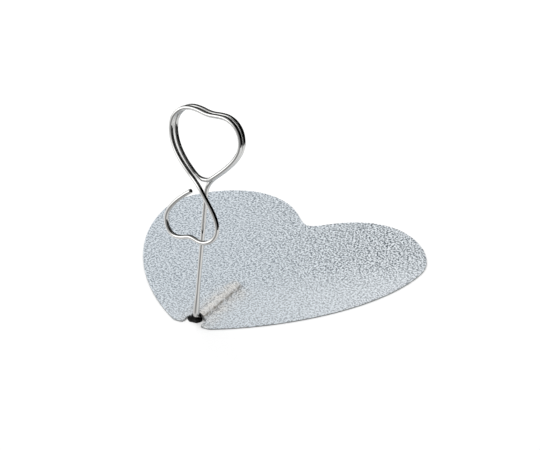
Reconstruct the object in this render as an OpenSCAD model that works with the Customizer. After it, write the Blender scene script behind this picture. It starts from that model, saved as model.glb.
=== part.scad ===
// Place card holder: a pressed heart of sheet metal that lies on the table, and one bent wire soldered under it.
// The wire stands up from the heart's tip, goes twice round an upper heart that grips the card between its turns,
// crosses in front of its own stem and ends in an open, upside-down lower heart.
// +X is to the right, +Y from the heart's tip to the dip between its lobes, +Z up. The plate lies on z = 0.

/* [Base plate] */
// Width of the heart across both lobes
base_w = 64; // [56:0.5:76]
// Length of the heart from the cut-off tip to the tops of the lobes
base_l = 59; // [52:0.5:70]
// Thickness of the pressed sheet
plate_t = 0.4; // [0.3:0.05:0.6]
// Width of the tip's end, across both toes, before their outer corners turn
toe_w = 7; // [6.4:0.2:9]
// Radius of the toes' corners at the notch through which the wire rises
toe_r = 0.7; // [0.4:0.1:0.9]
// Radius of the fillet where the half-round rib meets the flat of the sheet
rib_fillet = 0.6; // [0.3:0.1:0.9]

/* [Wire] */
// Diameter of the wire
wire_d = 1; // [0.8:0.05:1.2]
// Radius of the bend between the foot leg and the stem, at the wire's centre
bend_r = 1.1; // [1:0.1:1.6]
// Length of the foot leg that lies under the rib, from the bend to the cut end
leg_l = 14.6; // [10:0.2:20]
// Distance from the end of the tip back to where the stem meets the foot leg
stem_set = 1.85; // [1.5:0.05:2.5]
// Lean of the clip, backwards from upright, in degrees
lean = 10; // [0:1:18]

/* [Upper heart] */
// Width of the upper heart, between the centres of the wire
heart_w = 16.4; // [14:0.2:20]
// Height of the upper heart, between the centres of the wire
heart_h = 15.6; // [13.6:0.2:19]
// Height of the upper heart's tip above the foot leg, along the lean
tip_up = 30.5; // [28:0.1:36]
// Distance of the upper heart's middle to the right of the stem
heart_shift = -0.8; // [-1.5:0.1:1]
// How much wider the front turn is than the rear one
front_more = 0.4; // [0:0.1:0.6]
// Gap between the two turns, in which a card is held
card_gap = 0.8; // [0.6:0.05:1.2]

/* [Lower heart] */
// Width of the lower heart, between the centres of the wire
lower_w = 12.5; // [10:0.5:14]
// Height of the lower heart, between the centres of the wire
lower_h = 10.6; // [9:0.2:12]
// Distance from the upper heart's tip down to the lower heart's lobes
lower_drop = 12.2; // [11.8:0.2:14]
// Distance of the lower heart's middle to the right of the stem
lower_shift = -1.25; // [-2:0.05:0.5]
// Gap between strands of the wire where they cross
cross_gap = 0.5; // [0.45:0.05:0.8]

/* [Solder] */
// Length of the solder seam along the foot leg
seam_l = 12.4; // [6:0.2:13]

/* [Fits] */
// Clearance of the foot leg above the table
table_gap = 0.1; // [0.05:0.05:0.3]
// Clearance between the foot leg and the rib above it, which the solder fills
roof_gap = 0.25; // [0.2:0.05:0.5]
// Clearance between the cut end of the foot leg and the rounded end of the rib
end_gap = 0.4; // [0.2:0.1:1]

/* [Hidden] */
wire_r = wire_d / 2;
tip_y = -base_l / 2;
leg_z = wire_r + table_gap;
// The bend turns the wire from the leg, which runs forwards, to the stem, which leans back
bend_turn = 90 + lean;
bend_reach = bend_r * tan(bend_turn / 2);
corner_y = tip_y + stem_set;
leg_front_y = corner_y + bend_reach;
leg_back_y = leg_front_y + leg_l;
// How far the rib's roof reaches over the bend, as a share of the bend's radius
mouth_share = 0.33;
mouth_y = leg_front_y - mouth_share * bend_r;
// Half-round rib: a tunnel of this radius, in the sheet's own thickness, with filleted feet
tunnel_r = wire_d + table_gap + roof_gap;
rib_r = tunnel_r + plate_t;
rib_foot = sqrt(pow(rib_r + rib_fillet, 2) - pow(plate_t + rib_fillet, 2));
// The rib's ground reaches one sheet thickness past its feet
rib_seat = rib_foot + plate_t;
rib_end_y = leg_back_y + end_gap;
turn_pitch = wire_d + card_gap;
cross_pitch = wire_d + cross_gap;

// The sheet's outline, right half, from the toe's outer corner to the widest place, the lobe's top and the dip.
// Each row: across as a share of half the width, along as a share of the length, heading in degrees,
// and the pulls in and out of the point as shares of the length.
outline_share = [
    [0.17, 0.0125, 33, 0.018, 0.273],
    [1, 0.739, 90, 0.285, 0.125],
    [0.5, 1, 180, 0.12, 0.168],
    [0, 0.855, 180, 0.048, 0]
];
// The outer corner of the toe turns over this share of the length
toe_turn_share = 0.015;
outline_steps = 18;

// A heart of wire, followed from its tip up the right side, over the dip and down the left side.
// Each row: across as a share of the width from the middle, up as a share of the height,
// heading in degrees, and the pulls in and out of the point as shares of the width.
heart_share = [
    [0.52, 0.64, 90, 0.17, 0.2],
    [0.23, 0.98, 180, 0.15, 0.1],
    [0.05, 0.97, 180, 0.08, 0.09],
    [-0.2, 1.005, 180, 0.12, 0.16],
    [-0.475, 0.71, 270, 0.15, 0.26]
];
// The upside-down lower heart, from its right side round the lobes to its left side, in the same way
lower_share = [
    [0.5, 0.32, 270, 0.22, 0.16],
    [0.22, 0, 180, 0.13, 0.09],
    [0, 0.05, 180, 0.07, 0.07],
    [-0.26, -0.01, 180, 0.12, 0.13],
    [-0.49, 0.34, 90, 0.16, 0.2]
];
// Places round the upper heart's tip. Each row: across as a share of the width, up as a share of the height,
// heading in degrees, and the pulls in and out of the point as shares of the width.
stem_top_share = [0, -0.12, 90, 0.45, 0.08];
first_rise_share = [0.14, 0.125, 42, 0.09, 0.195];
fall_share = [-0.177, 0.125, -42, 0.195, 0.085];
vee_share = [0, 0.064, 0, 0.055, 0.055];
second_rise_share = [0.14, 0.13, 42, 0.061, 0.195];
cross_share = [0.03, -0.07, -54, 0.098, 0.183];
// The free end, in the same way, as shares of the lower heart's width and height
end_share = [-0.06, 1, 36, 0.208, 0];
// How far forward each turn has come at its fall, as a share of the way to its next place at the tip
first_lead_share = 0.62;
second_lead_share = 0.86;
// The front turn is also taller, and further to the right, by this share of its extra width
front_set_share = 0.25;

// Rings and sides of the swept wire
wire_sides = 16;
least_steps = 4;
degrees_a_step = 15;
chamfer_share = 0.75;
arc_steps = 8;
overrun = 1;
round_fn = 64;

// Curves

function bezier(a, b, c, d, t) =
    a * pow(1 - t, 3) + 3 * b * pow(1 - t, 2) * t + 3 * c * (1 - t) * t * t + d * pow(t, 3);

function towards(angle) = [cos(angle), sin(angle), 0];

// Points of one span between two knots, with the last point left to the next span.
// A knot is [place, heading, pull in, pull out].
function span(a, b, steps) = [
    for (i = [0:steps - 1])
        bezier(a[0], a[0] + a[3] * towards(a[1]), b[0] - b[2] * towards(b[1]), b[0], i / steps)
];

function steps_between(a, b) = least_steps + ceil(abs(sin((b[1] - a[1]) / 2)) * 180 / degrees_a_step);

function curve(knots, last) = [
    for (i = [0:last - 1])
        each span(knots[i], knots[i + 1], steps_between(knots[i], knots[i + 1])),
    knots[last][0]
];

// Base plate

// Corner of a toe at the notch, then straight to its outer corner
toe_corner = [
    for (i = [0:arc_steps - 1])
        [rib_foot, toe_r, 0] + toe_r * ([1, 0, 0] - towards(90 * i / arc_steps))
];
outline_knots = [
    [[toe_w / 2, 0, 0], 0, 0, toe_turn_share * base_l],
    for (s = outline_share)
        [[s[0] * base_w / 2, s[1] * base_l, 0], s[2], s[3] * base_l, s[4] * base_l]
];
lobe = [
    for (i = [0:len(outline_knots) - 2])
        each span(outline_knots[i], outline_knots[i + 1], i == 0 ? least_steps : outline_steps)
];
dip = outline_knots[len(outline_knots) - 1][0];
half_outline = [[rib_foot, mouth_y - tip_y, 0], each toe_corner, each lobe];

module heart_outline()
    polygon([
        for (p = half_outline) [p[0], tip_y + p[1]],
        [dip[0], tip_y + dip[1]],
        for (i = [len(half_outline) - 1:-1:0]) [-half_outline[i][0], tip_y + half_outline[i][1]]
    ]);

function arc(centre, radius, from, to) = [
    for (i = [0:arc_steps])
        let (a = from + (to - from) * i / arc_steps) centre + radius * [cos(a), sin(a)]
];

function after_first(points) = [for (i = [1:len(points) - 1]) points[i]];

// Half section of the rib, one sheet thick: out over the tunnel, round under the foot, and back over the top
fillet_centre = [rib_foot, plate_t + rib_fillet];
foot_angle = atan2(fillet_centre[1], fillet_centre[0]);
tunnel_arc = arc([0, 0], tunnel_r, 90, foot_angle);
rib_section = [
    each tunnel_arc,
    each after_first(arc(fillet_centre, plate_t + rib_fillet, 180 + foot_angle, 270)),
    [rib_seat, 0],
    [rib_seat, plate_t],
    each arc(fillet_centre, rib_fillet, 270, 180 + foot_angle),
    each after_first(arc([0, 0], rib_r, foot_angle, 90))
];

// The rib runs back from its mouth in the notch and ends in a round dome
module rib_shell() {
    for (side = [0, 1])
        mirror([side, 0, 0])
            translate([0, rib_end_y, 0])
                rotate([90, 0, 0])
                    linear_extrude(rib_end_y - mouth_y)
                        polygon(rib_section);
    translate([0, rib_end_y, 0])
        rotate_extrude(angle = 180, $fn = round_fn)
            polygon(rib_section);
}

// Ground that the rib takes out of the flat sheet
module rib_ground() {
    translate([-rib_seat, mouth_y, -overrun])
        cube([2 * rib_seat, rib_end_y - mouth_y, plate_t + 2 * overrun]);
    translate([0, rib_end_y, -overrun])
        cylinder(h = plate_t + 2 * overrun, r = rib_seat, $fn = round_fn);
}

module base_plate()
    color("silver") {
        difference() {
            linear_extrude(plate_t)
                heart_outline();
            rib_ground();
        }
        rib_shell();
    }

// Wire clip

// A place in the leaning frame of the clip: across, up the lean, and back from the stem
function in_clip(p) = [
    p[0],
    corner_y + p[1] * sin(lean) + p[2] * cos(lean),
    leg_z + p[1] * cos(lean) - p[2] * sin(lean)
];

// A knot at a place given by a row of shares of a heart's width and height, with the heart's middle and foot
function knot(row, middle, foot, width, height, depth) = [
    [middle + row[0] * width, foot + row[1] * height, depth],
    row[2], row[3] * width, row[4] * width
];

function tip_knot(row, depth) = knot(row, 0, tip_up, heart_w, heart_h, depth);

// One turn of the upper heart, which may be larger than the heart's own width
function heart_knots(depth, more) =
    let (set = front_set_share * more) [
        for (row = heart_share) knot(row, heart_shift + set, tip_up, heart_w + more, heart_h + set, depth)
    ];

function lower_knot(row, depth) = knot(row, lower_shift, tip_up - lower_drop, lower_w, lower_h, depth);

tail_depth = -2 * cross_pitch;
// Stem, rear turn, front turn, crossing and lower heart, in the order of the wire
clip_knots = [
    [[0, bend_reach, 0], 90, 0, stem_top_share[3] * heart_w],
    tip_knot(stem_top_share, 0),
    tip_knot(first_rise_share, 0),
    each heart_knots(0, 0),
    tip_knot(fall_share, -first_lead_share * cross_pitch),
    tip_knot(vee_share, -cross_pitch),
    tip_knot(second_rise_share, -turn_pitch),
    each heart_knots(-turn_pitch, front_more),
    tip_knot(fall_share, second_lead_share * tail_depth),
    tip_knot(cross_share, tail_depth),
    for (row = lower_share) lower_knot(row, tail_depth),
    lower_knot(end_share, tail_depth)
];

bend_steps = ceil(bend_turn / degrees_a_step);
// Centre line of the whole wire, from the cut end under the rib to the free end of the lower heart
wire_path = [
    [0, leg_back_y, leg_z],
    [0, (leg_back_y + leg_front_y) / 2, leg_z],
    for (i = [0:bend_steps - 1])
        let (a = 270 - bend_turn * i / bend_steps)
            [0, leg_front_y + bend_r * cos(a), leg_z + bend_r * (1 + sin(a))],
    for (p = curve(clip_knots, len(clip_knots) - 1)) in_clip(p)
];
path_end = len(wire_path) - 1;

function unit(v) = v / norm(v);
function tangent(i) = unit(wire_path[min(i + 1, path_end)] - wire_path[max(i - 1, 0)]);
function square_to(v, t) = unit(v - (v * t) * t);

// Sideways direction at each ring, carried along the path without twist
wire_sideways = [
    for (i = 0, s = [1, 0, 0]; i <= path_end; i = i + 1, s = square_to(s, tangent(min(i, path_end)))) s
];

function ring(centre, along, sideways, radius) =
    let (upwards = cross(along, sideways))
        [
            for (k = [0:wire_sides - 1])
                let (a = 360 * k / wire_sides)
                    centre + radius * (cos(a) * sideways + sin(a) * upwards)
        ];

chamfer = (1 - chamfer_share) * wire_r;
function end_ring(i, along_sign) =
    ring(wire_path[i] + along_sign * chamfer * tangent(i), tangent(i), wire_sideways[i],
        chamfer_share * wire_r);

wire_rings = [
    end_ring(0, -1),
    for (i = [0:path_end]) ring(wire_path[i], tangent(i), wire_sideways[i], wire_r),
    end_ring(path_end, 1)
];

module wire_clip() {
    last = len(wire_rings) - 1;
    n = wire_sides;
    color("gainsboro")
        polyhedron(
            points = [for (r = wire_rings) each r],
            faces = [
                [for (k = [0:n - 1]) k],
                for (i = [0:last - 1])
                    for (k = [0:n - 1])
                        each [
                            [i * n + k, (i + 1) * n + k, (i + 1) * n + (k + 1) % n],
                            [i * n + k, (i + 1) * n + (k + 1) % n, i * n + (k + 1) % n]
                        ],
                [for (k = [n - 1:-1:0]) last * n + k]
            ]
        );
}

// Least clear gap between strands of the wire that lie more than this many diameters apart along it
apart_share = 5;
path_at = [
    for (i = 0, s = 0; i <= path_end; i = i + 1, s = s + norm(wire_path[min(i, path_end)] - wire_path[i - 1])) s
];
wire_gap = min([
    for (i = [0:path_end - 1])
        for (j = [i + 1:path_end])
            if (path_at[j] - path_at[i] > apart_share * wire_d) norm(wire_path[i] - wire_path[j])
]) - wire_d;
echo(wire_length = path_at[path_end], wire_gap = wire_gap, rings = len(wire_rings));

// Solder seam

seam_back_y = leg_back_y - (leg_l - seam_l) / 2;

// The round part of the tunnel, across the whole rib
module tunnel_section()
    polygon(concat(
        [for (i = [arc_steps:-1:1]) tunnel_arc[i]],
        [for (p = tunnel_arc) [-p[0], p[1]]]
    ));

module leg_section()
    polygon([
        for (k = [0:wire_sides - 1])
            let (a = 360 * k / wire_sides) [wire_r * cos(a), leg_z + wire_r * sin(a)]
    ]);

// Solder that fills the tunnel above the middle of the leg
module solder_seam()
    color("lightgray")
        translate([0, seam_back_y, 0])
            rotate([90, 0, 0])
                linear_extrude(seam_l)
                    difference() {
                        tunnel_section();
                        leg_section();
                        translate([-tunnel_r, 0])
                            square([2 * tunnel_r, leg_z]);
                    }

base_plate();
wire_clip();
solder_seam();
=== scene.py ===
# %% [markdown]
# # A place card holder
# The real object is two pieces of metal: a heart pressed out of thin grained sheet, which lies on
# the table, and one polished wire, which stands up from the heart's tip and is coiled to grip a
# card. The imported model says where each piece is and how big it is, so it is loaded first and
# nothing in it is moved. This lesson then dresses it.

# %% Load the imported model
import math
import bpy
import numpy as np
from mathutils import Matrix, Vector, geometry, kdtree, noise


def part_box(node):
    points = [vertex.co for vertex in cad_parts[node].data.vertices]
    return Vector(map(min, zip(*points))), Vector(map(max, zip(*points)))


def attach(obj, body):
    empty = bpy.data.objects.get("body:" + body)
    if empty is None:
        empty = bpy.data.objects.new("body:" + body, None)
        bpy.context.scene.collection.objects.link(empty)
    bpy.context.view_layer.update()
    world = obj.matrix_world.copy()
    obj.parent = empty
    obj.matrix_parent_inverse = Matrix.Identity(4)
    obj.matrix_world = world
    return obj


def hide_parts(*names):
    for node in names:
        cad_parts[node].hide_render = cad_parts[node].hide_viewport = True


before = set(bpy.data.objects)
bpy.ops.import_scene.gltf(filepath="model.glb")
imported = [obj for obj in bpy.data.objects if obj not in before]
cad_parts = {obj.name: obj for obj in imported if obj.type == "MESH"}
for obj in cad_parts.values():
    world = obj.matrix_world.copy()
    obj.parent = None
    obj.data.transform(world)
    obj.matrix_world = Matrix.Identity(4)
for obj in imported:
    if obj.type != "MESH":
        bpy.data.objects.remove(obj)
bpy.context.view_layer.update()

MM = 0.001

# %% [markdown]
# ## The camera
# The picture was taken from the right of the wire and a little above, with a long lens: the far
# lobe is hardly smaller than the near one. An aim point, two angles and a distance say that
# plainly, and each can be corrected alone, which a typed rotation in Euler angles doesn't allow.

# %% Place the camera
view_azimuth = math.radians(29.87)
view_elevation = math.radians(28.14)
view_distance = 0.6966
aim_right = 1.97 * MM
aim_up = 9.0 * MM
focal_pixels = 3192
picture_pixels = 540

to_right = Vector((math.cos(view_azimuth), math.sin(view_azimuth), 0))
to_camera = Vector((math.sin(view_azimuth) * math.cos(view_elevation),
                    -math.cos(view_azimuth) * math.cos(view_elevation),
                    math.sin(view_elevation)))
camera_data = bpy.data.cameras.new("camera")
camera_data.lens = camera_data.sensor_width * focal_pixels / picture_pixels
camera = bpy.data.objects.new("camera", camera_data)
aim = aim_right * to_right + aim_up * to_camera.cross(to_right)
camera.location = aim + view_distance * to_camera
camera.rotation_euler = (-to_camera).to_track_quat("-Z", "Y").to_euler()
bpy.context.scene.collection.objects.link(camera)
bpy.context.scene.camera = camera
print("lens, mm:", round(camera_data.lens, 1))

# %% [markdown]
# ## Where the wire meets the plate
# The wire runs under the plate, bends in the notch and leaves it upright, so the notch, the rib and
# the wire all take their places from the same few sizes. They are named once here, before either
# piece is drawn, because two pieces that are placed apart from each other never quite meet.

# %% Sizes of the joint between wire and plate
plate_low, plate_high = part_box("base_plate")
plate_w = plate_high.x - plate_low.x
plate_l = plate_high.y - plate_low.y
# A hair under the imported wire's 0.5 mm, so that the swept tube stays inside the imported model
wire_r = 0.49 * MM
leg_z = 0.6 * MM
leg_l = 14.6 * MM
bend_r = 1.1 * MM
stem_set = 1.85 * MM
mouth_share = 0.33
end_gap = 0.4 * MM
lean = math.radians(10)
bend_turn = math.pi / 2 + lean
bend_reach = bend_r * math.tan(bend_turn / 2)
corner_y = plate_low.y + stem_set
leg_front_y = corner_y + bend_reach
leg_back_y = leg_front_y + leg_l
mouth_y = leg_front_y - mouth_share * bend_r
rib_end_y = leg_back_y + end_gap
print("wire's leg under the rib, mm:", round(leg_front_y / MM, 2), "to", round(leg_back_y / MM, 2))

# %% [markdown]
# ## The plate's outline
# A press cuts the heart in one blow, so its edge is one clean line: two lobes, a dip between them,
# and a tip that is cut off flat, with a notch for the wire. A handful of knots, each with a heading
# and a pull on either side, draws such a line as a designer would. Tracing it with many points
# would copy every wobble of the tracing hand.

# %% Draw the heart's outline
sheet_t = 0.4 * MM
rib_r = plate_high.z
rib_fillet = 0.6 * MM
rib_foot = math.sqrt((rib_r + rib_fillet) ** 2 - (sheet_t + rib_fillet) ** 2)
toe_w = 7 * MM
toe_r = 0.7 * MM
toe_turn_share = 0.015
outline_steps = 48
# Each row: across as a share of half the width, along as a share of the length, heading, and the
# pulls in and out as shares of the length
outline_share = [
    (0.17, 0.0125, 33, 0.018, 0.273),
    (1, 0.739, 90, 0.285, 0.125),
    (0.5, 1, 180, 0.12, 0.168),
    (0, 0.855, 180, 0.048, 0),
]


def towards(degrees):
    """Unit vector at an angle from +X in the XY plane."""
    return Vector((math.cos(math.radians(degrees)), math.sin(math.radians(degrees)), 0))


def through_knots(knots, steps):
    """Points of a smooth line through knots of (place, heading, pull in, pull out)."""
    points = []
    for a, b in zip(knots[:-1], knots[1:]):
        out_handle = a[0] + a[3] * towards(a[1])
        in_handle = b[0] - b[2] * towards(b[1])
        points += geometry.interpolate_bezier(a[0], out_handle, in_handle, b[0], steps + 1)[:-1]
    return points + [knots[-1][0]]


def heart_side():
    """Right side of the outline, from the rib's mouth round the toe and the lobe to the dip."""
    tip = Vector((0, plate_low.y, 0))
    corner = tip + Vector((rib_foot + toe_r, toe_r, 0))
    toe = [corner - toe_r * towards(a) for a in range(0, 90, 10)]
    knots = [(tip + Vector((toe_w / 2, 0, 0)), 0, 0, toe_turn_share * plate_l)]
    for across, along, heading, pull_in, pull_out in outline_share:
        place = tip + Vector((across * plate_w / 2, along * plate_l, 0))
        knots.append((place, heading, pull_in * plate_l, pull_out * plate_l))
    return [Vector((rib_foot, mouth_y, 0))] + toe + through_knots(knots, outline_steps)


def evenly(points, step):
    """The same line with its points about one step apart, as rows of x and y."""
    line = np.array([p[:2] for p in points])
    along = np.concatenate([[0], np.cumsum(np.linalg.norm(np.diff(line, axis=0), axis=1))])
    places = np.linspace(0, along[-1], round(along[-1] / step) + 1)
    return np.column_stack([np.interp(places, along, line[:, i]) for i in (0, 1)])


edge_step = 0.25 * MM
mouth_step = 0.15 * MM
right_side = evenly(heart_side(), edge_step)
left_side = right_side[::-1] * [-1, 1]
mouth = evenly([Vector(left_side[-1]), Vector(right_side[0])], mouth_step)
outline = np.vstack([right_side, left_side[1:], mouth[1:-1]])
print("outline points:", len(outline))

# %% [markdown]
# ## The rib
# Behind the notch the sheet is pushed up into a half-round rib, so that the wire can lie under it.
# Its top and its underside are both heights above the table that depend only on the distance from
# the rib's axis. Written as two functions, they keep the sheet equally thick everywhere, which is
# what pressing does to real sheet.

# %% Heights of the sheet
fillet_z = sheet_t + rib_fillet
foot_cos = rib_foot / math.hypot(rib_foot, fillet_z)


def rib_height(x, y, round_r, fillet_r):
    """Height of the rib's surface above a point, for a rib of one radius with feet of another."""
    reach = np.hypot(x, np.maximum(y - rib_end_y, 0))
    crown = np.sqrt(np.maximum(round_r ** 2 - reach ** 2, 0))
    sweep = np.clip(rib_foot - reach, 0, fillet_r)
    foot = fillet_z - np.sqrt(fillet_r ** 2 - sweep ** 2)
    return np.where(reach < round_r * foot_cos, crown, foot)


def top_height(x, y):
    return rib_height(x, y, rib_r, rib_fillet)


def under_height(x, y):
    return rib_height(x, y, rib_r - sheet_t, rib_fillet + sheet_t)


print("rib, mm high:", round(float(top_height(0, mouth_y)) / MM, 2))

# %% [markdown]
# ## The plate's mesh
# The grain of the sheet is only half a millimetre wide, and it should catch the light as real dents
# do, so the top needs a very fine mesh, while the flat underside doesn't. A constrained
# triangulation takes any cloud of points inside an outline. So each side gets its own spacing, and
# both meet a few rings that round off the cut edge.


# %% Fill the two sides of the plate
def inset(points, distance):
    """A closed outline moved inwards along its own normals."""
    along = np.roll(points, -1, axis=0) - np.roll(points, 1, axis=0)
    along /= np.linalg.norm(along, axis=1)[:, None]
    return points + distance * np.column_stack([-along[:, 1], along[:, 0]])


def inside(points, loop):
    """Which points lie inside a closed outline, by counting its crossings."""
    hits = np.zeros(len(points), int)
    for (ax, ay), (bx, by) in zip(loop, np.roll(loop, -1, axis=0)):
        crosses = (points[:, 1] < ay) != (points[:, 1] < by)
        if crosses.any():
            cross_x = ax + (points[crosses, 1] - ay) * (bx - ax) / (by - ay)
            hits[crosses] += points[crosses, 0] < cross_x
    return hits % 2 == 1


shake_share = 0.15
clear_share = 0.8
weld_distance = 1e-9


def cloud(low, high, step, random):
    """A slightly shaken triangular grid of points over a rectangle."""
    rows = np.arange(low[1], high[1], step * math.sqrt(3) / 2)
    columns = np.arange(low[0], high[0], step)
    x, y = np.meshgrid(columns, rows)
    x[1::2] += step / 2
    shake = random.uniform(-shake_share, shake_share, (x.size, 2)) * step
    return np.column_stack([x.ravel(), y.ravel()]) + shake


def near_rib(points, margin):
    """Which points lie on the rib, or within a margin of its foot."""
    reach = np.hypot(points[:, 0], np.maximum(points[:, 1] - rib_end_y, 0))
    return reach < rib_foot + margin


def fill(loop, step, rib_step, random):
    """Triangulates the inside of a loop: the loop's points come first, then the cloud's."""
    low, high = loop.min(axis=0), loop.max(axis=0)
    wide = cloud(low, high, step, random)
    rib_high = (2 * rib_foot, rib_end_y + 2 * rib_foot)
    fine = cloud((-2 * rib_foot, low[1]), rib_high, rib_step, random)
    points = np.vstack([wide[~near_rib(wide, rib_step)], fine[near_rib(fine, 0)]])
    points = points[inside(points, loop)]
    edge = kdtree.KDTree(len(loop))
    for i, (x, y) in enumerate(loop):
        edge.insert((x, y, 0), i)
    edge.balance()
    clear = [edge.find((x, y, 0))[2] > min(step, rib_step) * clear_share for x, y in points]
    points = np.vstack([loop, points[clear]])
    _, _, faces, origins, _, _ = geometry.delaunay_2d_cdt(
        [Vector(p) for p in points], [], [list(range(len(loop)))], 1, weld_distance)
    source = [o[0] for o in origins]
    return points, [[source[i] for i in f] for f in faces]


random = np.random.default_rng(4)
edge_round = 0.08 * MM
top_step, top_rib_step = 0.21 * MM, 0.15 * MM
under_step, under_rib_step = 1.2 * MM, 0.25 * MM
top_points, top_faces = fill(inset(outline, edge_round), top_step, top_rib_step, random)
under_points, under_faces = fill(inset(outline, edge_round), under_step, under_rib_step, random)
print("triangles on top and below:", len(top_faces), len(under_faces))

# %% [markdown]
# ## The cut edge
# The press leaves an edge that is rounded a little on both sides. The top and the underside follow
# the same outline, so four rings of points join them and give the rounding in one go, where a bevel
# would have to find the edge first. Three attributes remember which points are grained, which are on
# the edge and which are underneath, because each part gets a finish of its own later.


# %% Join the sides round the cut edge
def band(above, below):
    """Faces between two loops of points, which are given by their numbers."""
    return [(above[i - 1], below[i - 1], below[i], above[i]) for i in range(len(above))]


def mark(mesh, name, marked):
    """Stores 1 on the marked points of a mesh and 0 on the others."""
    attribute = mesh.attributes.new(name, "FLOAT", "POINT")
    attribute.data.foreach_set("value", [float(i in marked) for i in range(len(mesh.vertices))])


def plate_mesh():
    """One closed shell: the grained top, rings round the cut edge, and the plain underside."""
    count = len(outline)
    halfway = edge_round * (1 - math.sqrt(0.5))
    rings = [(halfway, top_height, -halfway), (0, top_height, -edge_round),
             (0, under_height, edge_round), (halfway, under_height, halfway)]
    places = [np.column_stack([top_points, top_height(*top_points.T)])]
    faces = list(top_faces)
    above, start = range(count), len(top_points)
    for distance, height, lift in rings:
        ring = inset(outline, distance)
        places.append(np.column_stack([ring, height(*ring.T) + lift]))
        below = range(start, start + count)
        faces += band(above, below)
        above, start = below, start + count
    places.append(np.column_stack([under_points, under_height(*under_points.T)]))
    faces += band(above, range(start, start + count))
    faces += [[start + i for i in reversed(face)] for face in under_faces]
    mesh = bpy.data.meshes.new("plate")
    mesh.from_pydata(np.vstack(places).tolist(), [], faces)
    mark(mesh, "grained", range(count, len(top_points)))
    mark(mesh, "cut_edge", range(len(top_points), start))
    mark(mesh, "underside", range(start, len(mesh.vertices)))
    mesh.shade_smooth()
    return mesh


plate = bpy.data.objects.new("grained_plate", plate_mesh())
bpy.context.scene.collection.objects.link(plate)
print("plate faces:", len(plate.data.polygons))

# %% [markdown]
# ## The grain
# The sheet was rolled with a leather-like grain before it was pressed. The dents are real depth, so
# they are made in the mesh: a Geometry Nodes tree pushes each point of the top along its normal by
# a noise texture. The same texture nodes exist in a material, so the finish can find the same dents
# later and darken them with painted shade. A bump map alone would vanish in the exported mesh.


# %% Press the grain into the top
def tree_with(name, inputs):
    """An empty Geometry Nodes tree with its geometry sockets, and inputs by name and kind."""
    tree = bpy.data.node_groups.new(name, "GeometryNodeTree")
    tree.interface.new_socket("Geometry", in_out="INPUT", socket_type="NodeSocketGeometry")
    tree.interface.new_socket("Geometry", in_out="OUTPUT", socket_type="NodeSocketGeometry")
    for label, kind in inputs:
        tree.interface.new_socket(label, in_out="INPUT", socket_type=kind)
    return tree, tree.nodes.new("NodeGroupInput"), tree.nodes.new("NodeGroupOutput")


def add(tree, kind, settings=None, inputs=None):
    """A node with its settings, and its inputs set to values or linked to other nodes' sockets."""
    node = tree.nodes.new(kind)
    for label, value in (settings or {}).items():
        setattr(node, label, value)
    for label, value in (inputs or {}).items():
        socket = node.inputs[label]
        if isinstance(value, bpy.types.NodeSocket):
            tree.links.new(value, socket)
        else:
            socket.default_value = value
    return node


def maths(tree, operation, a, b=0.0):
    """The result of a Math node on two numbers or sockets."""
    return add(tree, "ShaderNodeMath", {"operation": operation}, {0: a, 1: b}).outputs[0]


def times(tree, a, b):
    return maths(tree, "MULTIPLY", a, b)


def finish_tree(tree, geometry_out, material_out, output):
    """Ends a tree in Realize Instances and Set Material."""
    real = add(tree, "GeometryNodeRealizeInstances", inputs={"Geometry": geometry_out})
    dressed = add(tree, "GeometryNodeSetMaterial",
                  inputs={"Geometry": real.outputs["Geometry"], "Material": material_out})
    tree.links.new(dressed.outputs["Geometry"], output.inputs["Geometry"])


def run_tree(piece, tree, values):
    """Runs a tree on an object and returns the result as a new plain object of the same name."""
    modifier = piece.modifiers.new(tree.name, "NODES")
    modifier.node_group = tree
    for item in tree.interface.items_tree:
        if item.in_out == "INPUT" and item.name in values:
            modifier[item.identifier] = values[item.name]
    ready = piece.evaluated_get(bpy.context.evaluated_depsgraph_get())
    mesh = bpy.data.meshes.new_from_object(ready)
    name = piece.name
    bpy.data.objects.remove(piece)
    result = bpy.data.objects.new(name, mesh)
    bpy.context.scene.collection.objects.link(result)
    return result


grain_scale = 2500
grain_depth = 0.03 * MM
# The noise is taken about its middle, so it reaches half of the tree's Depth on each side
grain_noise = {"Detail": 2.0, "Roughness": 0.55, "Lacunarity": 2.1, "Distortion": 0.4}


def grain_tree():
    """Pushes the points marked as grained along their normals by a noise in space."""
    tree, source, output = tree_with("press_grain", [
        ("Scale", "NodeSocketFloat"), ("Depth", "NodeSocketFloat"),
        ("Material", "NodeSocketMaterial")])
    place = add(tree, "GeometryNodeInputPosition")
    dents = add(tree, "ShaderNodeTexNoise", inputs={
        "Vector": place.outputs[0], "Scale": source.outputs["Scale"], **grain_noise})
    depth = times(tree, maths(tree, "SUBTRACT", dents.outputs["Fac"], 0.5), source.outputs["Depth"])
    mask = add(tree, "GeometryNodeInputNamedAttribute", {"data_type": "FLOAT"}, {"Name": "grained"})
    normal = add(tree, "GeometryNodeInputNormal")
    push = add(tree, "ShaderNodeVectorMath", {"operation": "SCALE"}, {
        0: normal.outputs[0], "Scale": times(tree, depth, mask.outputs["Attribute"])})
    moved = add(tree, "GeometryNodeSetPosition",
                inputs={"Geometry": source.outputs["Geometry"], "Offset": push.outputs[0]})
    finish_tree(tree, moved.outputs["Geometry"], source.outputs["Material"], output)
    return tree


plate_metal = bpy.data.materials.new("grained plate")
plate = run_tree(plate, grain_tree(), {
    "Scale": grain_scale, "Depth": 2 * grain_depth, "Material": plate_metal})
print("plate, mm high with its grain:", round(max(v.co.z for v in plate.data.vertices) / MM, 3))

# %% [markdown]
# ## The wire
# The clip is one length of round wire, bent on a jig: up the stem, twice round the upper heart,
# across its own stem and round the lower heart to a cut end. Its centre line is therefore one
# Bezier curve, whose knots say where the jig's pins push and which way the wire runs there. A
# Geometry Nodes tree sweeps a circle along it. The sweep has to be a true tube and not a bevelled
# display curve, because the finish needs to know the direction along the wire.

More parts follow.
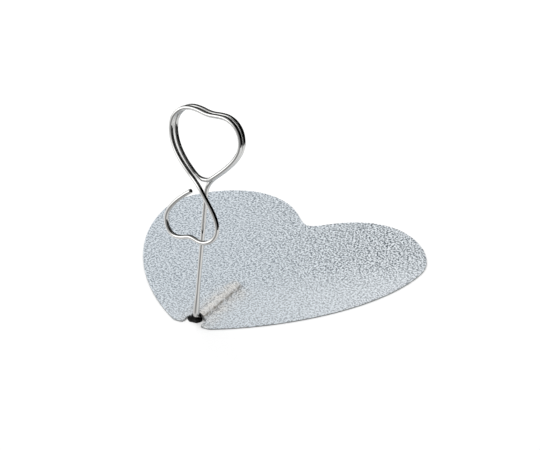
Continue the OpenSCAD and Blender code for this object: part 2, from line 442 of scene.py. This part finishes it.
# %% Bend the centre line
heart_w, heart_h, heart_shift = 16.4 * MM, 15.6 * MM, -0.8 * MM
lower_w, lower_h, lower_shift = 12.5 * MM, 10.6 * MM, -1.25 * MM
tip_up = 30.5 * MM
lower_up = tip_up - 12.2 * MM
# Both depths are the wire's own 1 mm and a gap: 0.8 mm for the card, 0.5 mm where strands cross
turn_depth = -1.8 * MM
cross_depth = -1.5 * MM
tail_depth = 2 * cross_depth
front_more = 0.4 * MM
front_set = 0.25 * front_more
# Each row: across and up as shares of a heart's width and height, heading, and the pulls in and out
# as shares of its width
heart_share = [
    (0.52, 0.64, 90, 0.17, 0.2),
    (0.23, 0.98, 180, 0.15, 0.1),
    (0.05, 0.97, 180, 0.08, 0.09),
    (-0.2, 1.005, 180, 0.12, 0.16),
    (-0.475, 0.71, 270, 0.15, 0.26),
]
lower_share = [
    (0.5, 0.32, 270, 0.22, 0.16),
    (0.22, 0, 180, 0.13, 0.09),
    (0, 0.05, 180, 0.07, 0.07),
    (-0.26, -0.01, 180, 0.12, 0.13),
    (-0.49, 0.34, 90, 0.16, 0.2),
    (-0.06, 1, 36, 0.208, 0),
]
stem_top_share = (0, -0.12, 90, 0.45, 0.08)
first_rise_share = (0.14, 0.125, 42, 0.09, 0.195)
second_rise_share = (0.14, 0.13, 42, 0.061, 0.195)
fall_share = (-0.177, 0.125, -42, 0.195, 0.085)
vee_share = (0, 0.064, 0, 0.055, 0.055)
cross_share = (0.03, -0.07, -54, 0.098, 0.183)
first_lead_share = 0.62
second_lead_share = 0.86


def in_clip(across, up, depth):
    """A place in the leaning plane of the clip: across it, up the lean, and back from the stem."""
    return Vector((across,
                   corner_y + up * math.sin(lean) + depth * math.cos(lean),
                   leg_z + up * math.cos(lean) - depth * math.sin(lean)))


def clip_knot(row, depth, middle=0, foot=tip_up, width=heart_w, height=heart_h):
    """A knot and its two handles, from a row of shares of one of the hearts."""
    across, up = middle + row[0] * width, foot + row[1] * height
    way = towards(row[2])
    before, after = -row[3] * width * way, row[4] * width * way
    return [in_clip(across + step.x, up + step.y, depth) for step in (before, Vector(), after)]


def upper_turn(depth, more=0, set_off=0):
    """One turn of the upper heart. The front one is a little larger than the rear one."""
    return [clip_knot(row, depth, heart_shift + set_off, tip_up, heart_w + more, heart_h + set_off)
            for row in heart_share]


drawn_up = 4.5 * MM


def foot_knots():
    """The leg under the rib, the bend in two arcs, and the stem up to where the solder ends."""
    # The pull that makes a Bezier curve follow a circle over half of the bend
    arc_pull = 4 / 3 * math.tan(bend_turn / 8) * bend_r
    centre = Vector((0, leg_front_y, leg_z + bend_r))
    knots = []
    for turned in (0, 0.5, 1):
        angle = turned * bend_turn
        place = centre + bend_r * Vector((0, -math.sin(angle), -math.cos(angle)))
        way = arc_pull * Vector((0, -math.cos(angle), math.sin(angle)))
        knots.append([place - way, place, place + way])
    knots[0][0] = knots[0][1] + Vector((0, leg_l / 3, 0))
    up = Vector((0, math.sin(lean), math.cos(lean)))
    stem_start = knots[-1][1]
    knots[-1][2] = stem_start + drawn_up / 3 * up
    solder_top = stem_start + drawn_up * up
    stem_pull = stem_top_share[3] * heart_w
    knots.append([solder_top - drawn_up / 3 * up, solder_top, solder_top + stem_pull * up])
    end = Vector((0, leg_back_y, leg_z))
    return [[end, end, end - Vector((0, leg_l / 3, 0))]] + knots


centre_line = foot_knots() + [
    clip_knot(stem_top_share, 0),
    clip_knot(first_rise_share, 0),
    *upper_turn(0),
    clip_knot(fall_share, first_lead_share * cross_depth),
    clip_knot(vee_share, cross_depth),
    clip_knot(second_rise_share, turn_depth),
    *upper_turn(turn_depth, front_more, front_set),
    clip_knot(fall_share, second_lead_share * tail_depth),
    clip_knot(cross_share, tail_depth),
    *[clip_knot(row, tail_depth, lower_shift, lower_up, lower_w, lower_h) for row in lower_share],
]
print("knots in the wire:", len(centre_line))


# %% [markdown]
# ## The wire's thickness
# A Bezier curve carries a radius at each knot, and Curve to Mesh scales the circle by it once the
# Radius node is linked to its Scale. Two more knots, one just past each cut, round the ends off.
# Solder crept up the foot while it was liquid, so the middle of the bend and the start of the stem
# are thicker than the wire.

# %% Sweep the wire along it
cut_round = 0.125 * MM
cut_share = 0.75
# Thickness at the middle of the bend and at the start of the stem, counted with the cut end
swell_shares = {3: 1.3, 4: 1.55}


def add_cut_ends(knots):
    """The knots with one more past each end, where the wire narrows to its slightly rounded cut."""
    ends = []
    for place, handle in ((knots[0][1], knots[0][2]), (knots[-1][1], knots[-1][0])):
        past = place + cut_round * (place - handle).normalized()
        ends.append([past, past, past])
    knots[0][0], knots[-1][2] = knots[0][1], knots[-1][1]
    return [ends[0]] + knots + [ends[1]]


def bezier_object(name, knots):
    """A curve through knots of (handle before, place, handle after), with its thickness at each."""
    shares = {0: cut_share, len(knots) - 1: cut_share, **swell_shares}
    curve = bpy.data.curves.new(name, "CURVE")
    curve.dimensions = "3D"
    curve.resolution_u = 24
    spline = curve.splines.new("BEZIER")
    spline.bezier_points.add(len(knots) - 1)
    for index, (point, (before, place, after)) in enumerate(zip(spline.bezier_points, knots)):
        point.handle_left_type = point.handle_right_type = "FREE"
        point.handle_left, point.co, point.handle_right = before, place, after
        point.radius = shares.get(index, 1)
    piece = bpy.data.objects.new(name, curve)
    bpy.context.scene.collection.objects.link(piece)
    return piece


def store(tree, geometry, name, value):
    """Keeps a number at every point of a curve as an attribute."""
    return add(tree, "GeometryNodeStoreNamedAttribute", {"data_type": "FLOAT", "domain": "POINT"}, {
        "Geometry": geometry, "Name": name, "Value": value}).outputs["Geometry"]


def sweep_tree():
    """Sweeps a circle along a curve, and keeps the lengths along and around it for the finish."""
    tree, source, output = tree_with("sweep_wire", [
        ("Radius", "NodeSocketFloat"), ("Sides", "NodeSocketInt"),
        ("Material", "NodeSocketMaterial")])
    length = add(tree, "GeometryNodeSplineParameter")
    marked = store(tree, source.outputs["Geometry"], "along", length.outputs["Length"])
    circle = add(tree, "GeometryNodeCurvePrimitiveCircle", inputs={
        "Resolution": source.outputs["Sides"], "Radius": source.outputs["Radius"]})
    turn = add(tree, "GeometryNodeSplineParameter")
    rounded = store(tree, circle.outputs["Curve"], "around", turn.outputs["Factor"])
    swell = add(tree, "GeometryNodeInputRadius")
    tube = add(tree, "GeometryNodeCurveToMesh", inputs={
        "Curve": marked, "Profile Curve": rounded, "Scale": swell.outputs[0], "Fill Caps": True})
    smooth = add(tree, "GeometryNodeSetShadeSmooth", inputs={"Geometry": tube.outputs["Mesh"]})
    finish_tree(tree, smooth.outputs["Geometry"], source.outputs["Material"], output)
    return tree


wire_metal = bpy.data.materials.new("polished wire")
wire = run_tree(bezier_object("heart_wire", add_cut_ends(centre_line)), sweep_tree(), {
    "Radius": wire_r, "Sides": 32, "Material": wire_metal})
wire_gap = max((wire_co - cad_co).length for wire_co, cad_co in zip(
    (Vector(wire.bound_box[0]), Vector(wire.bound_box[6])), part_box("wire_clip")))
print("wire faces:", len(wire.data.polygons), "corners off by, mm:", round(wire_gap / MM, 3))

# %% [markdown]
# ## The solder
# Solder holds the wire in the tunnel under the rib. It was drawn in by heat, so it wets both metals
# and its free surface sinks between them in a hollow curve that is never quite even. It is only
# seen from below. A loft through a few dozen cross-sections gives that, with a little noise in
# each, and closed ends that shrink away.


# %% Shape the solder in the tunnel
seam_low, seam_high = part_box("solder_seam")
tunnel_r = rib_r - sheet_t
seam_sections = 61
seam_over_leg = 0.02 * MM
seam_wave = 0.06 * MM
seam_wave_length = 1.3 * MM
seam_end_lift = 0.3 * MM
seam_end_power = 8
sag_share = 0.3


def hollow(a, b, steps=4):
    """Points between two walls that sag upwards in the middle, as wet solder does."""
    sag = sag_share * abs(a[0] - b[0])
    shares = [i / (steps + 1) for i in range(1, steps + 1)]
    return [(a[0] + (b[0] - a[0]) * s, a[1] + (b[1] - a[1]) * s + 4 * s * (1 - s) * sag)
            for s in shares]


def solder_section(y, level):
    """Closed cross-section of the seam: over the roof, then under the hollows beside the wire."""
    wall = math.asin(min(level / tunnel_r, 1))
    roof = [(tunnel_r * math.cos(a), tunnel_r * math.sin(a))
            for a in np.linspace(wall, math.pi - wall, 17)]
    grip = math.asin(max(min((level - leg_z) / wire_r, 1), -1))
    over = [(wire_r * math.cos(a), leg_z + wire_r * math.sin(a))
            for a in np.linspace(math.pi - grip, grip, 15)]
    left = hollow(roof[-1], over[0])
    right = hollow(over[-1], roof[0])
    return [(x, y, z) for x, z in roof + left + over + right]


def seam_loft():
    """Places and faces of the seam, from one cross-section after another with closed ends."""
    stations = np.linspace(seam_low.y, seam_high.y, seam_sections)
    middle, half = (stations[0] + stations[-1]) / 2, (stations[-1] - stations[0]) / 2
    sections = []
    for y in stations:
        near_end = abs((y - middle) / half) ** seam_end_power
        wave = seam_wave * noise.noise(Vector((y / seam_wave_length, 0, 0)))
        level = leg_z + seam_over_leg + abs(wave) + near_end * seam_end_lift
        sections.append(solder_section(y, level))
    count = len(sections[0])
    faces = [list(range(count))[::-1]]
    for i in range(len(sections) - 1):
        for k in range(count):
            a, b = i * count + k, i * count + (k + 1) % count
            faces.append((a, b, b + count, a + count))
    faces.append([(len(sections) - 1) * count + k for k in range(count)])
    return [p for section in sections for p in section], faces


seam_places, seam_faces = seam_loft()
print("seam, mm long:", round((seam_high.y - seam_low.y) / MM, 1), "points:", len(seam_places))

# %% [markdown]
# ## The black dome in the notch
# A flat black dome round the wire's foot fills the notch. It is a dark piece put where the rib's
# mouth and the notch lie in shade, so it is painted shade. A dome with a flat bottom and a rim that
# noise makes uneven gives it, and needs few faces.

# %% Add the black dome of painted shade
shade_dome_middle = Vector((-0.35 * MM, mouth_y - 0.5 * MM, 0.02 * MM))
shade_dome_size = Vector((1.7 * MM, 1.35 * MM, 0.36 * MM))
rim_uneven, rim_lumps = 0.12, 1.7


def add_shade_dome(places, faces, rings=10, around=40):
    """Adds a black dome of painted shade in the notch: a flat-bottomed dome with an uneven rim."""
    first = len(places)
    for ring in range(1, rings + 1):
        slope = ring / rings * math.pi / 2
        for k in range(around):
            angle = k / around * 2 * math.pi
            way = Vector((math.cos(angle), math.sin(angle), 0))
            reach = (1 + rim_uneven * noise.noise(way * rim_lumps)) * math.sin(slope)
            places.append((shade_dome_middle.x + shade_dome_size.x * reach * way.x,
                           shade_dome_middle.y + shade_dome_size.y * reach * way.y,
                           shade_dome_middle.z + shade_dome_size.z * math.cos(slope)))
    top, base = len(places), len(places) + 1
    places += [tuple(shade_dome_middle + Vector((0, 0, shade_dome_size.z))), tuple(shade_dome_middle)]
    for k in range(around):
        after = (k + 1) % around
        faces.append((top, first + k, first + after))
        for ring in range(rings - 1):
            a, b = first + ring * around, first + (ring + 1) * around
            faces.append((a + k, b + k, b + after, a + after))
        rim = first + (rings - 1) * around
        faces.append((rim + k, base, rim + after))


add_shade_dome(seam_places, seam_faces)
solder_metal = bpy.data.materials.new("solder")
solder_shape = bpy.data.meshes.new("solder")
solder_shape.from_pydata(seam_places, [], seam_faces)
solder_shape.shade_smooth()
solder_shape.materials.append(solder_metal)
solder = bpy.data.objects.new("solder_run", solder_shape)
bpy.context.scene.collection.objects.link(solder)
print("solder faces:", len(solder.data.polygons))

# %% [markdown]
# ## Which piece stands for which
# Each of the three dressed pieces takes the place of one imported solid. They ride on the part's only
# body, because nothing on the holder moves: the wire only springs a little when a card is pushed
# in.

# %% Stand the pieces in for the solids
for piece, node in ((plate, "base_plate"), (wire, "wire_clip"), (solder, "solder_seam")):
    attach(piece, "root")
    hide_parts(node)
    print(piece.name, "stands for", node)

# %% [markdown]
# ## The finish of the sheet
# Thin plating keeps the colour of silver but not its mirror, because every grain sends the light
# another way. A full metal would turn white from one side and black from the other, so the shader
# is mostly a plain grey with a little metal in it. The same noise that pressed the dents into the
# mesh darkens their bottoms with painted shade, where light doesn't come, and a finer noise gives the
# matte bloom. A few helpers come first, which the other finishes use as well.


# %% Helpers for the finishes
def start_finish(material):
    """Opens a material's tree, and returns it with the shader and object coordinates."""
    material.use_nodes = True
    tree = material.node_tree
    return tree, tree.nodes["Principled BSDF"], add(tree, "ShaderNodeTexCoord").outputs["Object"]


def fade(tree, value, low, high):
    """A smooth step from 0 at one value to 1 at another."""
    node = add(tree, "ShaderNodeMapRange", {"interpolation_type": "SMOOTHSTEP"}, {
        "Value": value, "From Min": low, "From Max": high})
    return node.outputs["Result"]


def blend_colour(tree, factor, a, b):
    """A mix of two colours, each of them a value or a socket."""
    return add(tree, "ShaderNodeMix", {"data_type": "RGBA"}, {0: factor, 6: a, 7: b}).outputs[2]


def axes_of(tree, place):
    return add(tree, "ShaderNodeSeparateXYZ", inputs={0: place}).outputs


def facing(tree, place, way):
    """How far a place or a direction reaches along a way."""
    node = add(tree, "ShaderNodeVectorMath", {"operation": "DOT_PRODUCT"}, {0: place, 1: way})
    return node.outputs["Value"]


def named(tree, name):
    return add(tree, "ShaderNodeAttribute", {"attribute_name": name}).outputs["Fac"]


def noise_at(tree, place, scale, detail=2.0):
    return add(tree, "ShaderNodeTexNoise", inputs={
        "Vector": place, "Scale": scale, "Detail": detail}).outputs["Fac"]


def set_gloss(tree, shader, level, smoothest, roughest):
    """Roughness that follows a noise between two values."""
    shine = add(tree, "ShaderNodeMapRange", inputs={
        "Value": level, "To Min": smoothest, "To Max": roughest})
    tree.links.new(shine.outputs["Result"], shader.inputs["Roughness"])


def set_relief(tree, shader, level, strength, distance):
    """Relief too fine for the mesh, from the same noise."""
    bump = add(tree, "ShaderNodeBump", inputs={
        "Strength": strength, "Distance": distance, "Height": level})
    tree.links.new(bump.outputs["Normal"], shader.inputs["Normal"])


print("points on the cut edge and below:", len(plate.data.vertices) - len(top_points))

# %% [markdown]
# ## The grain's colours
# The dents are painted darker than the hills between them, as painted shade in the dents. In the
# picture the two differ most towards the right lobe and least along the front edge. Much of that is
# probably light that fell across the dents, which soft light can't repeat, so the two colours carry
# it here as painted light and shade. They change slowly across the sheet by the place on it, and
# keep that change under any light. Near the rib both turn warmer, where the heat of soldering
# tinted the plating.


# %% Mix the grain's colours
# Dark dents are painted shade; their change to the right and to the front is painted light.
shaded_dents_left, shaded_dents_right = (0.27, 0.31, 0.35, 1), (0.06, 0.08, 0.10, 1)
shaded_dents_front = (0.38, 0.41, 0.44, 1)
lit_hills_left, lit_hills_right = (0.76, 0.82, 0.87, 1), (0.86, 0.91, 0.95, 1)
heated_shaded_dents, heated_hills = (0.30, 0.27, 0.24, 1), (0.84, 0.79, 0.72, 1)
painted_light_way, painted_front_light_way = (0.8, 0.6, 0), (0.7, -0.7, 0)
tint_beside, tint_reach = 0.8 * MM, 5.5 * MM
tint_share = 0.6


def along_rib(tree, place, across, half_width):
    """1 on a line beside the rib's axis and 0 beyond a distance from it, as far as the rib runs."""
    axes = axes_of(tree, place)
    off = maths(tree, "ABSOLUTE", maths(tree, "SUBTRACT", axes["X"], across))
    near = fade(tree, off, half_width, half_width * 0.1)
    return times(tree, near, fade(tree, axes["Y"], rib_end_y + rib_r, rib_end_y - rib_r))


def grain_and_painted_light(tree, place):
    """Grain from the dents' noise, painted shade in the dents and painted light across the sheet."""
    right = fade(tree, facing(tree, place, painted_light_way), -10 * MM, 30 * MM)
    front = fade(tree, facing(tree, place, painted_front_light_way), 3 * MM, 18 * MM)
    shaded_dent_colour = blend_colour(tree, right, shaded_dents_left, shaded_dents_right)
    shaded_dent_colour = blend_colour(tree, front, shaded_dent_colour, shaded_dents_front)
    lit_hill_colour = blend_colour(tree, right, lit_hills_left, lit_hills_right)
    warmth = times(tree, along_rib(tree, place, tint_beside, tint_reach),
                   fade(tree, noise_at(tree, place, 350), 0.0, 0.8))
    heat = times(tree, warmth, tint_share)
    dents = add(tree, "ShaderNodeTexNoise", inputs={
        "Vector": place, "Scale": grain_scale, **grain_noise})
    return blend_colour(tree, fade(tree, dents.outputs["Fac"], 0.41, 0.55),
                        blend_colour(tree, heat, shaded_dent_colour, heated_shaded_dents),
                        blend_colour(tree, heat, lit_hill_colour, heated_hills))


print("the rib's tint reaches, mm:", round((tint_beside + tint_reach) / MM, 1))

# %% [markdown]
# ## Painted light and shade on the sheet
# The flank of the rib is painted paler, as painted light that lifts its shaded side, and a broken
# dark line of painted shade lies in the crease at its foot. The lower half of the cut edge is painted
# dull and dark as painted shade, and the upper half keeps the sheet's colour. The rib's mouth and
# the underside round it are painted black, as painted shade in the tunnel. Each mark is one more
# colour laid over the last, under a mask of its own.

# %% Dress the sheet
# Painted light on the rib's flank, and a line of painted shade in the crease at its foot.
painted_flank_light, painted_crease_shade = (1.0, 0.96, 0.90, 1), (0.20, 0.17, 0.13, 1)
# Painted shade: the lower half of the cut edge, the edge at the rib's mouth and the tunnel below.
painted_edge_shade, painted_mouth_shade = (0.17, 0.18, 0.18, 1), (0.01, 0.01, 0.01, 1)
painted_tunnel_shade = (0.012, 0.011, 0.01, 1)
pale_beside, pale_reach, pale_share = 0.9 * MM, 0.9 * MM, 0.4
crease_shade_beside, crease_shade_reach, crease_shade_share = 1.46 * MM, 0.22 * MM, 0.65
mouth_shade_reach, tunnel_shade_reach = 3.4 * MM, 4 * MM


def rib_painted_light_and_shade(tree, place, colour):
    """Painted light on the rib's flank, and a broken line of painted shade at its foot."""
    pale = along_rib(tree, place, pale_beside, pale_reach)
    colour = blend_colour(tree, times(tree, pale, pale_share), colour, painted_flank_light)
    # A broken dark line of painted shade in the crease at the rib's foot.
    line = times(tree, along_rib(tree, place, crease_shade_beside, crease_shade_reach),
                 fade(tree, noise_at(tree, place, 900), 0.3, 0.55))
    return blend_colour(tree, times(tree, line, crease_shade_share), colour, painted_crease_shade)


def edge_painted_shade(tree, place, colour):
    """Painted shade on the lower half of the cut edge, at the rib's mouth and under the rib."""
    axes = axes_of(tree, place)
    edge = named(tree, "cut_edge")
    # The lower half of the cut edge is painted dark, as painted shade.
    low_edge_shade = times(tree, edge, fade(tree, axes["Z"], 0.26 * MM, 0.14 * MM))
    colour = blend_colour(tree, low_edge_shade, colour, painted_edge_shade)
    # The edge at the rib's mouth and the underside along the rib are painted black as painted shade.
    mouth_edge_shade = times(tree, times(tree, edge, along_rib(tree, place, 0.0, mouth_shade_reach)),
                  fade(tree, axes["Y"], mouth_y + 0.8 * MM, mouth_y + 0.3 * MM))
    colour = blend_colour(tree, mouth_edge_shade, colour, painted_mouth_shade)
    tunnel_shade = times(tree, named(tree, "underside"), along_rib(tree, place, 0.0, tunnel_shade_reach))
    return blend_colour(tree, tunnel_shade, colour, painted_tunnel_shade)


def dress_plate():
    """Mostly a plain grey, with a little metal and a matte bloom."""
    tree, shader, place = start_finish(plate_metal)
    colour = edge_painted_shade(tree, place, rib_painted_light_and_shade(tree, place, grain_and_painted_light(tree, place)))
    tree.links.new(colour, shader.inputs["Base Color"])
    bloom = noise_at(tree, place, 5000, 3.0)
    set_gloss(tree, shader, bloom, 0.38, 0.52)
    set_relief(tree, shader, bloom, 0.5, 0.02 * MM)
    shader.inputs["Metallic"].default_value = 0.12
    shader.inputs["Specular IOR Level"].default_value = 0.2


dress_plate()
print("nodes in the sheet's finish:", len(plate_metal.node_tree.nodes))

# %% [markdown]
# ## The finish of the wire
# Drawn wire is polished by its die, so it mirrors the room in bands that run along it. The only
# flaws are hair-fine lines in the direction of drawing. They come from the two attributes that the
# sweep left on the tube, stretched along the wire, because noise in plain space would cross it at
# every bend.

# %% Dress the wire
lines_along, lines_around = 60.0, 30.0


def dress_wire():
    """Polished metal with hair-fine lines along it."""
    tree, shader, _ = start_finish(wire_metal)
    lines = add(tree, "ShaderNodeCombineXYZ", inputs={
        0: times(tree, named(tree, "along"), lines_along),
        1: times(tree, named(tree, "around"), lines_around)})
    drawn = noise_at(tree, lines.outputs[0], 1.0, 3.0)
    set_gloss(tree, shader, drawn, 0.02, 0.05)
    set_relief(tree, shader, drawn, 0.2, 0.01 * MM)
    shader.inputs["Base Color"].default_value = (0.62, 0.62, 0.61, 1)
    shader.inputs["Metallic"].default_value = 1.0


dress_wire()
print("nodes in the wire's finish:", len(wire_metal.node_tree.nodes))

# %% [markdown]
# ## The finish of the solder
# Solder cools to a dull, frosted grey. Towards the notch it is painted black and no metal at all, as
# painted shade in the rib's mouth, so the same mask that blends the colour also takes the metal away.

# %% Dress the solder
frost_dark, frost_pale = (0.3, 0.3, 0.29, 1), (0.55, 0.55, 0.54, 1)
painted_mouth_black = (0.006, 0.006, 0.006, 1)


def dress_solder():
    """Frosted grey metal, painted black near the notch as painted shade."""
    tree, shader, place = start_finish(solder_metal)
    frost = noise_at(tree, place, 2500, 4.0)
    colour = blend_colour(tree, fade(tree, frost, 0.3, 0.7), frost_dark, frost_pale)
    # Painted shade: black towards the rib's mouth and over the dome in the notch.
    tunnel_shade = fade(tree, axes_of(tree, place)["Y"], mouth_y + 3 * MM, mouth_y + 1.5 * MM)
    tree.links.new(blend_colour(tree, tunnel_shade, colour, painted_mouth_black), shader.inputs["Base Color"])
    set_relief(tree, shader, frost, 0.4, 0.03 * MM)
    clean = maths(tree, "SUBTRACT", 1.0, tunnel_shade)
    tree.links.new(times(tree, clean, 0.9), shader.inputs["Metallic"])
    shader.inputs["Roughness"].default_value = 0.45


dress_solder()
print("nodes in the solder's finish:", len(solder_metal.node_tree.nodes))

# %% [markdown]
# ## The paper
# A small bright object is photographed on white paper, which is white to the camera by its colour
# alone. Polished wire would turn white all over on it, but real wire also mirrors the table past
# the paper's edges and the darker room in front of it. So two parts of the sheet, in front and at
# the back, look dark in a mirror and nowhere else.

# %% Lay the paper
paper_left, paper_right, paper_front, paper_back = -0.5, 0.16, -0.5, 0.5
paper_white, paper_dark = (0.98, 0.98, 0.98, 1), (0.02, 0.02, 0.02, 1)
front_dim, back_dim = 0.65, 0.95


def sheet_of_paper(name):
    """One flat sheet on the table."""
    mesh = bpy.data.meshes.new(name)
    corners = [(paper_left, paper_front, 0), (paper_right, paper_front, 0),
               (paper_right, paper_back, 0), (paper_left, paper_back, 0)]
    mesh.from_pydata(corners, [], [(0, 1, 2, 3)])
    piece = bpy.data.objects.new(name, mesh)
    bpy.context.scene.collection.objects.link(piece)
    return piece


def dress_paper(piece):
    """White to the camera, with two parts that are darker in a mirror."""
    material = bpy.data.materials.new("white paper")
    tree, shader, place = start_finish(material)
    axes = axes_of(tree, place)
    aside = times(tree, maths(tree, "ABSOLUTE", axes["X"]), -1.2)
    front = fade(tree, maths(tree, "SUBTRACT", aside, axes["Y"]), 10 * MM, 60 * MM)
    back = fade(tree, axes["Y"], 35 * MM, 55 * MM)
    dim = maths(tree, "MAXIMUM", times(tree, front, front_dim), times(tree, back, back_dim))
    mirrored = times(tree, dim, add(tree, "ShaderNodeLightPath").outputs["Is Glossy Ray"])
    colour = blend_colour(tree, mirrored, paper_white, paper_dark)
    tree.links.new(colour, shader.inputs["Base Color"])
    shader.inputs["Roughness"].default_value = 0.9
    shader.inputs["Specular IOR Level"].default_value = 0.0
    piece.data.materials.append(material)


paper = sheet_of_paper("white_paper")
dress_paper(paper)
print("paper, m:", round(paper_right - paper_left, 2), "by", round(paper_back - paper_front, 2))

# %% [markdown]
# ## The light
# The world is white to the camera and lights the sheet evenly. For mirrors alone it is a grey room
# with a window on the left, a small lamp at the front left, a dark wall on the right and a dark
# place high at the back: these give the wire its white bands and its black lines. One wide lamp adds
# a soft shadow, and it is kept out of the mirror.


# %% Light the room
room_level, even_level, white_level = 0.4, 0.83, 1.0
# Each row: degrees round from +X, degrees above the table, the angle out to which the patch is
# full, the angle at which it has faded, and its level
room_patches = [
    (170, -5, 35, 60, 1.3),
    (12, 25, 64, 74, 0.0),
    (112, 42, 40, 50, 0.02),
    (-128, 20, 18, 34, 2.2),
]


def direction(around, above):
    """Unit vector at an angle from +X, seen from above, and an angle above the table."""
    rise = math.radians(above)
    return towards(around) * math.cos(rise) + Vector((0, 0, math.sin(rise)))


def mix(tree, factor, a, b):
    return add(tree, "ShaderNodeMix", inputs={0: factor, 2: a, 3: b}).outputs[0]


def light_room():
    """A world that is white to the camera, even to the sheet, and a room to mirrors."""
    world = bpy.data.worlds.new("studio")
    bpy.context.scene.world = world
    world.use_nodes = True
    tree = world.node_tree
    way = add(tree, "ShaderNodeTexCoord").outputs["Generated"]
    room = room_level
    for around, above, inner, outer, level in room_patches:
        here = fade(tree, facing(tree, way, direction(around, above)),
                    math.cos(math.radians(outer)), math.cos(math.radians(inner)))
        room = mix(tree, here, room, level)
    ray = add(tree, "ShaderNodeLightPath").outputs
    strength = mix(tree, ray["Is Glossy Ray"], even_level, room)
    background = tree.nodes["Background"]
    shown = mix(tree, ray["Is Camera Ray"], strength, white_level)
    tree.links.new(shown, background.inputs["Strength"])
    background.inputs["Color"].default_value = (1, 1, 1, 1)


light_room()
softbox = bpy.data.lights.new("softbox", "AREA")
softbox.shape = "DISK"
softbox.size = 0.5
softbox.energy = 2.0
softbox_object = bpy.data.objects.new("softbox", softbox)
softbox_object.location = (-0.35, 0.25, 0.6)
softbox_object.rotation_euler = softbox_object.location.to_track_quat("Z", "Y").to_euler()
softbox_object.visible_glossy = False
bpy.context.scene.collection.objects.link(softbox_object)
bpy.context.scene.view_settings.view_transform = "Standard"
